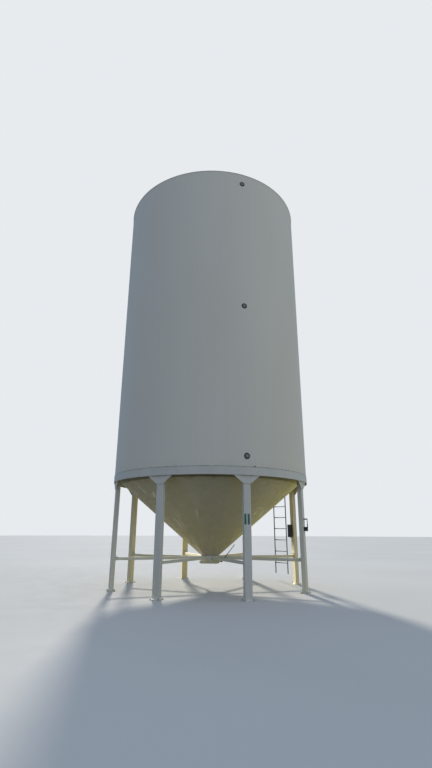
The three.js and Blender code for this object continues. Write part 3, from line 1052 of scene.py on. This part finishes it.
def spoke_shape():
    """A spoke with its end plates, and a cleat that ties it to the leg."""
    middle = SPOKE_BOTTOM + SPOKE_H / 2
    section = rounded_rectangle(SPOKE_W / 2, SPOKE_H / 2, SPOKE_CORNER)
    angle = [
        (0, 0), (0, CLEAT_LEG), (CLEAT_T, CLEAT_LEG),
        (CLEAT_T, CLEAT_T), (CLEAT_LEG, CLEAT_T), (CLEAT_LEG, 0),
    ]
    low = SPOKE_BOTTOM - END_REACH
    return joined([
        loft([[Vector((point.x, -radius, middle + point.y)) for point in section]
              for radius in (SPOKE_INNER, SPOKE_OUTER)]),
        slab([Vector((-CLEAT_HALF, -SPOKE_OUTER + depth, SPOKE_TOP + rise)) for depth, rise in angle],
             Vector((2 * CLEAT_HALF, 0, 0))),
        brick((-END_HALF, -SPOKE_OUTER, low), (END_HALF, -SPOKE_OUTER + END_T, SPOKE_TOP), 0.001),
        brick((-END_HALF, -SPOKE_INNER - END_T, low),
              (END_HALF, -SPOKE_INNER, SPOKE_TOP + END_REACH), 0.001),
    ])


def make_spoke_bolts(finish):
    """Bolts through the cleats into the legs and the spokes."""
    hole = 0.038
    places = [at(x, -SPOKE_OUTER + CLEAT_T, SPOKE_TOP + hole) @ INWARD for x in (-0.032, 0.032)]
    places.append(at(0, -SPOKE_OUTER + hole, SPOKE_TOP + CLEAT_T))
    make_bolts("spoke_bolts", hex_bolt(0.012), places, finish)


# The outlet

GATE_TOP = 0.5997
GATE_CORNER = 0.218
GATE_RAIL_X = 0.230
RAIL_BOLTS = (0.32, 0.43, 0.54)
SHAFT_R = 0.012
SHAFT_Y = -0.274
SHAFT_Z = 0.606
SHAFT_LEFT = -0.225
SHAFT_RIGHT = 0.300
SHAFT_COLLARS = (-0.184, 0.184, 0.216)
KNUCKLE_HALF = 0.017
CRANK_TOP = Vector((0.612, -0.140, 0.985))


def refined(name, node, width, finish, slot):
    """A CAD solid's copy, with its flat faces whole again and its edges softened."""
    shape = bmesh.new()
    shape.from_mesh(frame["nodes"][node].data)
    bmesh.ops.remove_doubles(shape, verts=shape.verts, dist=0.00002)
    bmesh.ops.dissolve_limit(shape, angle_limit=radians(1), verts=shape.verts, edges=shape.edges)
    piece(name, soften(shape, width), finish, slot, node)


def make_outlet(paint, zinc):
    refined("collar_skin", "outlet_collar", 0.002, paint, CREAM)
    refined("gate_frame_skin", "gate_frame", 0.0012, paint, CREAM)
    refined("gate_blade_skin", "gate_blade", 0.001, zinc, ZINC)
    bolts = [(x, y) for x in (-GATE_CORNER, GATE_CORNER) for y in (-GATE_CORNER, GATE_CORNER)]
    bolts += [(x, y) for x in (-GATE_RAIL_X, GATE_RAIL_X) for y in RAIL_BOLTS]
    piece("gate_bolts", repeated(hex_bolt(0.012), [at(x, y, GATE_TOP) for x, y in bolts]), zinc, ZINC)


def make_crank(rust, paint):
    """The gate's shaft with cap and collars, and the knuckle and rod of its crank."""
    left = Vector((SHAFT_LEFT, SHAFT_Y, SHAFT_Z))
    right = Vector((SHAFT_RIGHT, SHAFT_Y, SHAFT_Z))
    knuckle = Vector((1, 1, 1)) * KNUCKLE_HALF
    pin = Vector((0, KNUCKLE_HALF + 0.002, 0))
    line = (CRANK_TOP - right).normalized()
    piece("crank_skin", joined([
        brick(right - knuckle, right + knuckle, 0.005, 3),
        rod(right - pin, right + pin, 0.006),
        rod(right, CRANK_TOP, 0.008),
        rod(right + line * 0.012, right + line * 0.06, 0.0125),
    ]), rust, ZINC, "gate_crank")
    cap = Vector((0.5, 1, 1)) * KNUCKLE_HALF
    half = 0.005
    piece("gate_shaft", joined([
        rod(left, right - Vector((KNUCKLE_HALF / 2, 0, 0)), SHAFT_R),
        brick(left - cap, left + cap, 0.003),
        *(rod((x - half, SHAFT_Y, SHAFT_Z), (x + half, SHAFT_Y, SHAFT_Z), 0.021) for x in SHAFT_COLLARS),
    ]), paint, CREAM)


# The ladder

LADDER_BOTTOM = 0.180
LADDER_TOP = 10.350
RUNG_R = 0.012
RUNG_FIRST = 0.460
RUNG_STEP = 0.305
RUNGS = 33
RAIL_T = 0.008
RAIL_D = 0.038
BRACKET_T = 0.006
BRACKET_H = 0.040
BRACKET_BEND = 0.012

# The radius of what each bracket is on, and its height
CARRIERS = ((BAND_R, 2.500), (WALL_R, 4.900), (WALL_R, 7.300), (WALL_R, 9.700))


def make_ladder(finish):
    half = LADDER_W / 2
    inside = half - RAIL_T
    reach = half - RAIL_T / 2
    near = -LADDER_R - RAIL_D / 2
    far = -LADDER_R + RAIL_D / 2
    collars = [(side * inside, side * (inside - 0.004)) for side in (-1, 1)]
    rung = joined([
        rod((-reach, 0, 0), (reach, 0, 0), RUNG_R, 20),
        *(rod((start, 0, 0), (end, 0, 0), RUNG_R + 0.0025, 20) for start, end in collars),
    ])
    piece("ladder_skin", joined([
        *(brick((x, near, LADDER_BOTTOM), (x + RAIL_T, far, LADDER_TOP), 0.002) for x in (-half, inside)),
        repeated(rung, [at(0, -LADDER_R, RUNG_FIRST + step * RUNG_STEP) for step in range(RUNGS)]),
    ], facing(LADDER_AZIMUTH)), finish, ZINC, "ladder")


def bracket_shape(carrier_r):
    """A flat strap on its carrier, bent outwards along both rails, with its bolts."""
    outside = LADDER_W / 2 + GAP + BRACKET_T
    half = outside - BRACKET_T / 2
    back = -(carrier_r + GAP + BRACKET_T / 2)
    front = -LADDER_R - RAIL_D / 2
    path = [Vector((-half, front, 0))]
    for side, turn in ((-1, 180), (1, 90)):
        centre = Vector((side * (half - BRACKET_BEND), back - BRACKET_BEND, 0))
        for step in range(5):
            angle = radians(turn - 90 * step / 4)
            path.append(centre + Vector((cos(angle), sin(angle), 0)) * BRACKET_BEND)
    path.append(Vector((half, front, 0)))
    lift = Vector((0, 0, BRACKET_H / 2))
    rings = []
    for index, point in enumerate(path):
        along = (path[min(index + 1, len(path) - 1)] - path[max(index - 1, 0)]).normalized()
        across = Vector((-along.y, along.x, 0)) * BRACKET_T / 2
        left = point + across
        right = point - across
        rings.append([left + lift, right + lift, right - lift, left - lift])
    bolts = [at(x, back - BRACKET_T / 2, 0) @ OUTWARD for x in (-0.16, 0.16)]
    for side in (-1, 1):
        bolts.append(at(side * outside, -LADDER_R, 0) @ facing(90 * side, "Y"))
    return joined([soften(loft(rings), 0.001, 1), repeated(hex_bolt(0.010), bolts)])


def make_brackets(finish):
    for number, (radius, height) in enumerate(CARRIERS, 1):
        shape = joined([bracket_shape(radius)], facing(LADDER_AZIMUTH) @ at(0, 0, height))
        piece(f"bracket_skin_{number}", shape, finish, ZINC, f"ladder_bracket_{number}")


# Fittings on the roof

NECK_R = 0.334
NECK_T = 0.008
NECK_BOTTOM = 11.5132
NECK_TOP = 11.6482
LID_SHEET = 0.006
LID_R = 0.352
LID_SLOPE = 0.2045
LID_TOP = 11.7228
LID_EDGE = LID_TOP - LID_R * LID_SLOPE
LID_FOOT = 11.5948
HATCH_R = 0.270
HATCH_T = 0.008
HATCH_TOP = 10.700
HATCH_LID_R = 0.330
HATCH_LID_TOP = 10.762
HATCH_LID_FOOT = 10.670
FOOT_WELD = 0.008


def hinge(lid_r, height, spread, half, pin_half):
    """Two knuckles at the back of a lid's skirt, and the pin through them."""
    pin_y = lid_r + 0.010
    return joined([
        *(brick((x - half, lid_r - EMBED, height - 0.012), (x + half, lid_r + 0.012, height + 0.012), 0.002)
          for x in (-spread, spread)),
        rod((-pin_half, pin_y, height), (pin_half, pin_y, height), 0.006, 16),
    ])


def hasp(lid_r, half, low, high):
    """A plate at the front of a lid's skirt."""
    return brick((-half, -lid_r - 0.006, low), (half, -lid_r + EMBED, high))


def handle(radius, half, foot, bridge):
    """A lifting handle of round bar on a lid."""
    return joined([
        *(rod((x, -radius, foot), (x, -radius, bridge), 0.005, 16) for x in (-half, half)),
        rod((-half - 0.005, -radius, bridge), (half + 0.005, -radius, bridge), 0.005, 16),
    ])


def make_neck(finish):
    """The filling neck, with a turned rim and a weld round its foot."""
    rim = 0.006
    tube = sweep([
        (NECK_R, NECK_BOTTOM),
        (NECK_R, NECK_TOP - 2 * rim),
        (NECK_R + rim * 0.8, NECK_TOP - 1.5 * rim),
        (NECK_R + rim, NECK_TOP - rim),
        (NECK_R + rim * 0.7, NECK_TOP - rim * 0.2),
        (NECK_R, NECK_TOP),
        (NECK_R - NECK_T, NECK_TOP),
        (NECK_R - NECK_T, NECK_BOTTOM),
    ], SMALL_STEPS)
    bead_r = NECK_R + 0.002
    line = [polar(360 * step / SMALL_STEPS, bead_r, roof_height(bead_r)) for step in range(SMALL_STEPS + 1)]
    piece("neck_skin", joined([tube, weld(line, FOOT_WELD)]), finish, CREAM, "roof_neck")


def make_lid(finish, zinc):
    """The filling neck's lid, with a rolled edge, a handle, a hinge and a hasp."""
    roll = 0.005
    piece("lid_skin", spin([
        (0, LID_TOP - LID_SHEET),
        (LID_R - LID_SHEET, LID_EDGE - LID_SHEET),
        (LID_R - LID_SHEET, LID_FOOT + roll),
        (LID_R - roll * 0.6, LID_FOOT),
        (LID_R, LID_FOOT + roll * 0.6),
        (LID_R, LID_EDGE - roll),
        (LID_R - roll * 0.3, LID_EDGE - roll * 0.3),
        (LID_R - roll, LID_EDGE + roll * 0.2),
        (0, LID_TOP),
    ], SMALL_STEPS), finish, CREAM, "roof_lid")
    handle_r = 0.17
    foot = LID_TOP - handle_r * LID_SLOPE - 0.002
    piece("lid_fittings", joined([
        handle(handle_r, 0.055, foot, foot + 0.030),
        hinge(LID_R, (LID_FOOT + LID_EDGE) / 2, 0.05, 0.016, 0.075),
        hasp(LID_R, 0.018, LID_FOOT - 0.022, LID_EDGE - 0.01),
    ], facing(HATCH_AZIMUTH)), zinc, ZINC)


def hatch_drum():
    """The hatch's drum, cut to the roof's slope, with a weld round its foot."""
    rings = []
    for step in range(SMALL_STEPS):
        direction = polar(360 * step / SMALL_STEPS, 1, 0)
        column = []
        for radius in (HATCH_R, HATCH_R - HATCH_T):
            place = HATCH_MIDDLE + direction * radius
            low = max(roof_height(hypot(place.x, place.y)) + GAP, ROOF_EDGE + 0.016)
            column += [place + Vector((0, 0, height)) for height in (low, HATCH_TOP)]
        outer_low, outer_high, inner_low, inner_high = column
        rings.append([outer_low, outer_high, inner_high, inner_low])
    line = [ring[0] for ring in rings + rings[:1]]
    return joined([loft(rings, cyclic=True), weld(line, FOOT_WELD)])


def hatch_lid():
    """The hatch's lid, shallow and domed."""
    inside = HATCH_LID_R - LID_SHEET
    shoulder = HATCH_TOP + LID_SHEET
    crown = [
        (HATCH_LID_R * share, shoulder + (HATCH_LID_TOP - shoulder) * (1 - share ** 2.4))
        for share in (0.985, 0.9, 0.8, 0.65, 0.5, 0.35, 0.2, 0.1)
    ]
    return spin([
        (0, HATCH_TOP + GAP),
        (inside, HATCH_TOP + GAP),
        (inside, HATCH_LID_FOOT + 0.003),
        (inside + LID_SHEET / 2, HATCH_LID_FOOT),
        (HATCH_LID_R, HATCH_LID_FOOT + 0.003),
        (HATCH_LID_R, shoulder - 0.004),
        *crown,
        (0, HATCH_LID_TOP),
    ], SMALL_STEPS, HATCH_PLACE)


def make_hatch(finish, zinc):
    """The access hatch above the ladder, with a hinge, a hasp and a handle."""
    piece("hatch_drum_skin", hatch_drum(), finish, CREAM, "hatch_drum")
    piece("hatch_lid_skin", hatch_lid(), finish, CREAM, "hatch_lid")
    skirt = (HATCH_LID_FOOT + HATCH_TOP) / 2
    foot = HATCH_TOP + 0.030
    piece("hatch_fittings", joined([
        hinge(HATCH_LID_R, skirt, 0.07, 0.02, 0.1),
        hasp(HATCH_LID_R, 0.02, HATCH_LID_FOOT - 0.04, skirt + 0.02),
        handle(0.225, 0.06, foot, foot + 0.028),
    ], HATCH_PLACE @ facing(HATCH_AZIMUTH)), zinc, ZINC)


# Sight glasses, box, winch and green stripes

SIGHT_R = 0.065
LENS_R = 0.042
SCREW_R = 0.0535
BEZEL_STEPS = 64
LENS_STEPS = 48


def make_sight_glasses(enamel, glass, rubber):
    """Each sight glass: its bezel with screws, its domed lens and the gasket behind it."""
    bezel = [
        (0, 0.001), (SIGHT_R - 0.001, 0.001), (SIGHT_R, 0.002), (SIGHT_R, 0.008),
        (SIGHT_R - 0.002, 0.0105), (SIGHT_R - 0.009, 0.0135), (SIGHT_R - 0.012, 0.014),
        (LENS_R + 0.0025, 0.014), (LENS_R + 0.0005, 0.012), (LENS_R, 0.006), (0, 0.006),
    ]
    shares = (0.99, 0.85, 0.7, 0.5, 0.3, 0.1)
    dome = [(LENS_R * share, 0.0085 + 0.003 * (1 - share ** 2)) for share in shares]
    lens = [(0, 0.005), (LENS_R - 0.0005, 0.005), (LENS_R - 0.0005, 0.0085), *dome, (0, 0.0115)]
    gasket_r = SIGHT_R + 0.003
    gasket = [(0, -0.004), (gasket_r, -0.004), (gasket_r, 0.001), (gasket_r - 0.001, 0.002), (0, 0.002)]
    for index, height in enumerate(SIGHT_HEIGHTS, 1):
        place = facing(FIRST_LEG) @ at(0, -WALL_R - GAP, height) @ OUTWARD
        screws = [place @ at(*polar(60 * turn, SCREW_R, 0.0138)) for turn in range(6)]
        ring = joined([spin(bezel, BEZEL_STEPS, place), repeated(hex_bolt(0.006), screws)])
        piece(f"sight_bezel_{index}", ring, enamel, DARK, f"sight_glass_{index}")
        piece(f"sight_lens_{index}", spin(lens, LENS_STEPS, place), glass, DARK)
        piece(f"sight_gasket_{index}", spin(gasket, BEZEL_STEPS, place), rubber, DARK)


BOX_LEG = 3
WINCH_LEG = 2
STRIPE_LEG = 1


def make_box(enamel, zinc):
    """The box on a leg's inner face: body, cover, hinge barrels, latch and gland."""
    back = -(LEG_FACE - LEG_D - GAP)
    front = back + 0.100
    seam = back + 0.078
    left, right, low, high = -0.030, 0.072, 1.153, 1.472
    inset = 0.003
    barrel_x = left - 0.002
    barrel = 0.022
    piece("leg_box_skin", joined([
        brick((left + inset, back, low + inset), (right - inset, seam + 0.01, high - inset), 0.005, 3),
        brick((left, seam, low), (right, front, high), 0.006, 3),
        *(rod((barrel_x, seam, z - barrel), (barrel_x, seam, z + barrel), 0.005, 14)
          for z in (low + 0.05, high - 0.05)),
    ], leg_place(BOX_LEG)), enamel, DARK, "leg_box")
    latch_z = (low + high) / 2
    gland_x = (left + right) / 2
    gland_y = back + 0.045
    piece("leg_box_fittings", joined([
        brick((right - EMBED, seam - 0.02, latch_z - 0.014),
              (right + 0.005, front - 0.012, latch_z + 0.014)),
        rod((gland_x, gland_y, low - 0.022), (gland_x, gland_y, low + 0.006), 0.013, 20),
    ], leg_place(BOX_LEG)), zinc, ZINC)


def make_winch(enamel, rubber):
    """The winch on a leg's outer face: plate, cheeks, drum, arms, and a grip with a sleeve."""
    face = -LEG_FACE - GAP
    out = face - 0.078
    low, high, top = 1.295, 1.398, 1.576
    half = 0.030
    drum_half = 0.028
    drum_y = face - 0.034
    drum_z = (low + high) / 2
    plate_t = 0.006
    piece("winch_skin", joined([
        brick((-half, face - plate_t, low), (half, face, high)),
        *(brick((x, out + 0.010, low + plate_t), (x + plate_t, face - 0.004, high - plate_t))
          for x in (-half, half - plate_t)),
        rod((-drum_half, drum_y, drum_z), (drum_half, drum_y, drum_z), 0.024, 28),
        brick((-0.016, out - 0.004, low), (0.016, out + 0.014, low + 0.034), 0.003),
        brick((-0.012, out - 0.004, top - 0.026), (0.012, face, top), 0.003),
        rod((0, out, low + 0.005), (0, out, top), 0.0075, 16),
    ], leg_place(WINCH_LEG)), enamel, DARK, "leg_winch")
    sleeve = rod((0, out, low + 0.05), (0, out, low + 0.165), 0.0105, 20)
    piece("winch_sleeve", joined([sleeve], leg_place(WINCH_LEG)), rubber, DARK)


def make_guide(enamel):
    """A small plate with an eye, on the corner of the gusset above the winch."""
    face = -LEG_FACE - GUSSET_T
    plate = face - 0.006
    left, right, low, high = 0.255, 0.326, 2.362, 2.406
    eye_x = right - 0.020
    eye_z = (low + high) / 2
    piece("guide_plate", joined([
        brick((left, plate, low), (right, face + EMBED, high)),
        rod((eye_x, plate - 0.020, eye_z), (eye_x, plate + EMBED, eye_z), 0.019, 28),
    ], leg_place(WINCH_LEG)), enamel, DARK)


STRIPE_LOW = 1.42
STRIPE_HIGH = 1.63
STRIPES = ((-0.073, -0.028), (0.001, 0.047))


def make_stripes(finish):
    """Two dark green stripes on a front leg's outer face."""
    back = -LEG_FACE + 0.0005
    front = -LEG_FACE - 0.0008
    piece("green_stripes", joined([
        brick((left, front, STRIPE_LOW), (right, back, STRIPE_HIGH), 0.0004, 1) for left, right in STRIPES
    ], leg_place(STRIPE_LEG)), finish, DARK)


make_camera()
make_floor(pale_floor())

wall = wall_paint()
posts = frame_paint()
hopper = hopper_paint()
roof = roof_paint()
zinc = zinc_coat("galvanised", (0.36, 0.37, 0.385), (0.52, 0.535, 0.55))
dull_zinc = zinc_coat("weathered_zinc", (0.13, 0.14, 0.155), (0.21, 0.22, 0.235))
enamel = black_enamel()
rubber = gasket_rubber()

make_wall(wall)
make_wall_seams(wall)
make_band(band_paint())
make_seal(packed_dirt())
make_hopper(hopper)
make_hopper_seams(hopper)
make_roof(roof)
make_roof_seams(roof)
make_at_legs("leg", leg_shape(), posts)
make_anchors(zinc)
make_at_legs("spoke", spoke_shape(), posts)
make_spoke_bolts(zinc)
make_outlet(posts, zinc)
make_crank(rusty_steel(), posts)
make_ladder(dull_zinc)
make_brackets(dull_zinc)
make_neck(roof)
make_lid(roof, zinc)
make_hatch(roof, zinc)
make_sight_glasses(enamel, lens_glass(), rubber)
make_box(enamel, zinc)
make_winch(enamel, rubber)
make_guide(enamel)
make_stripes(green_enamel())
make_light()
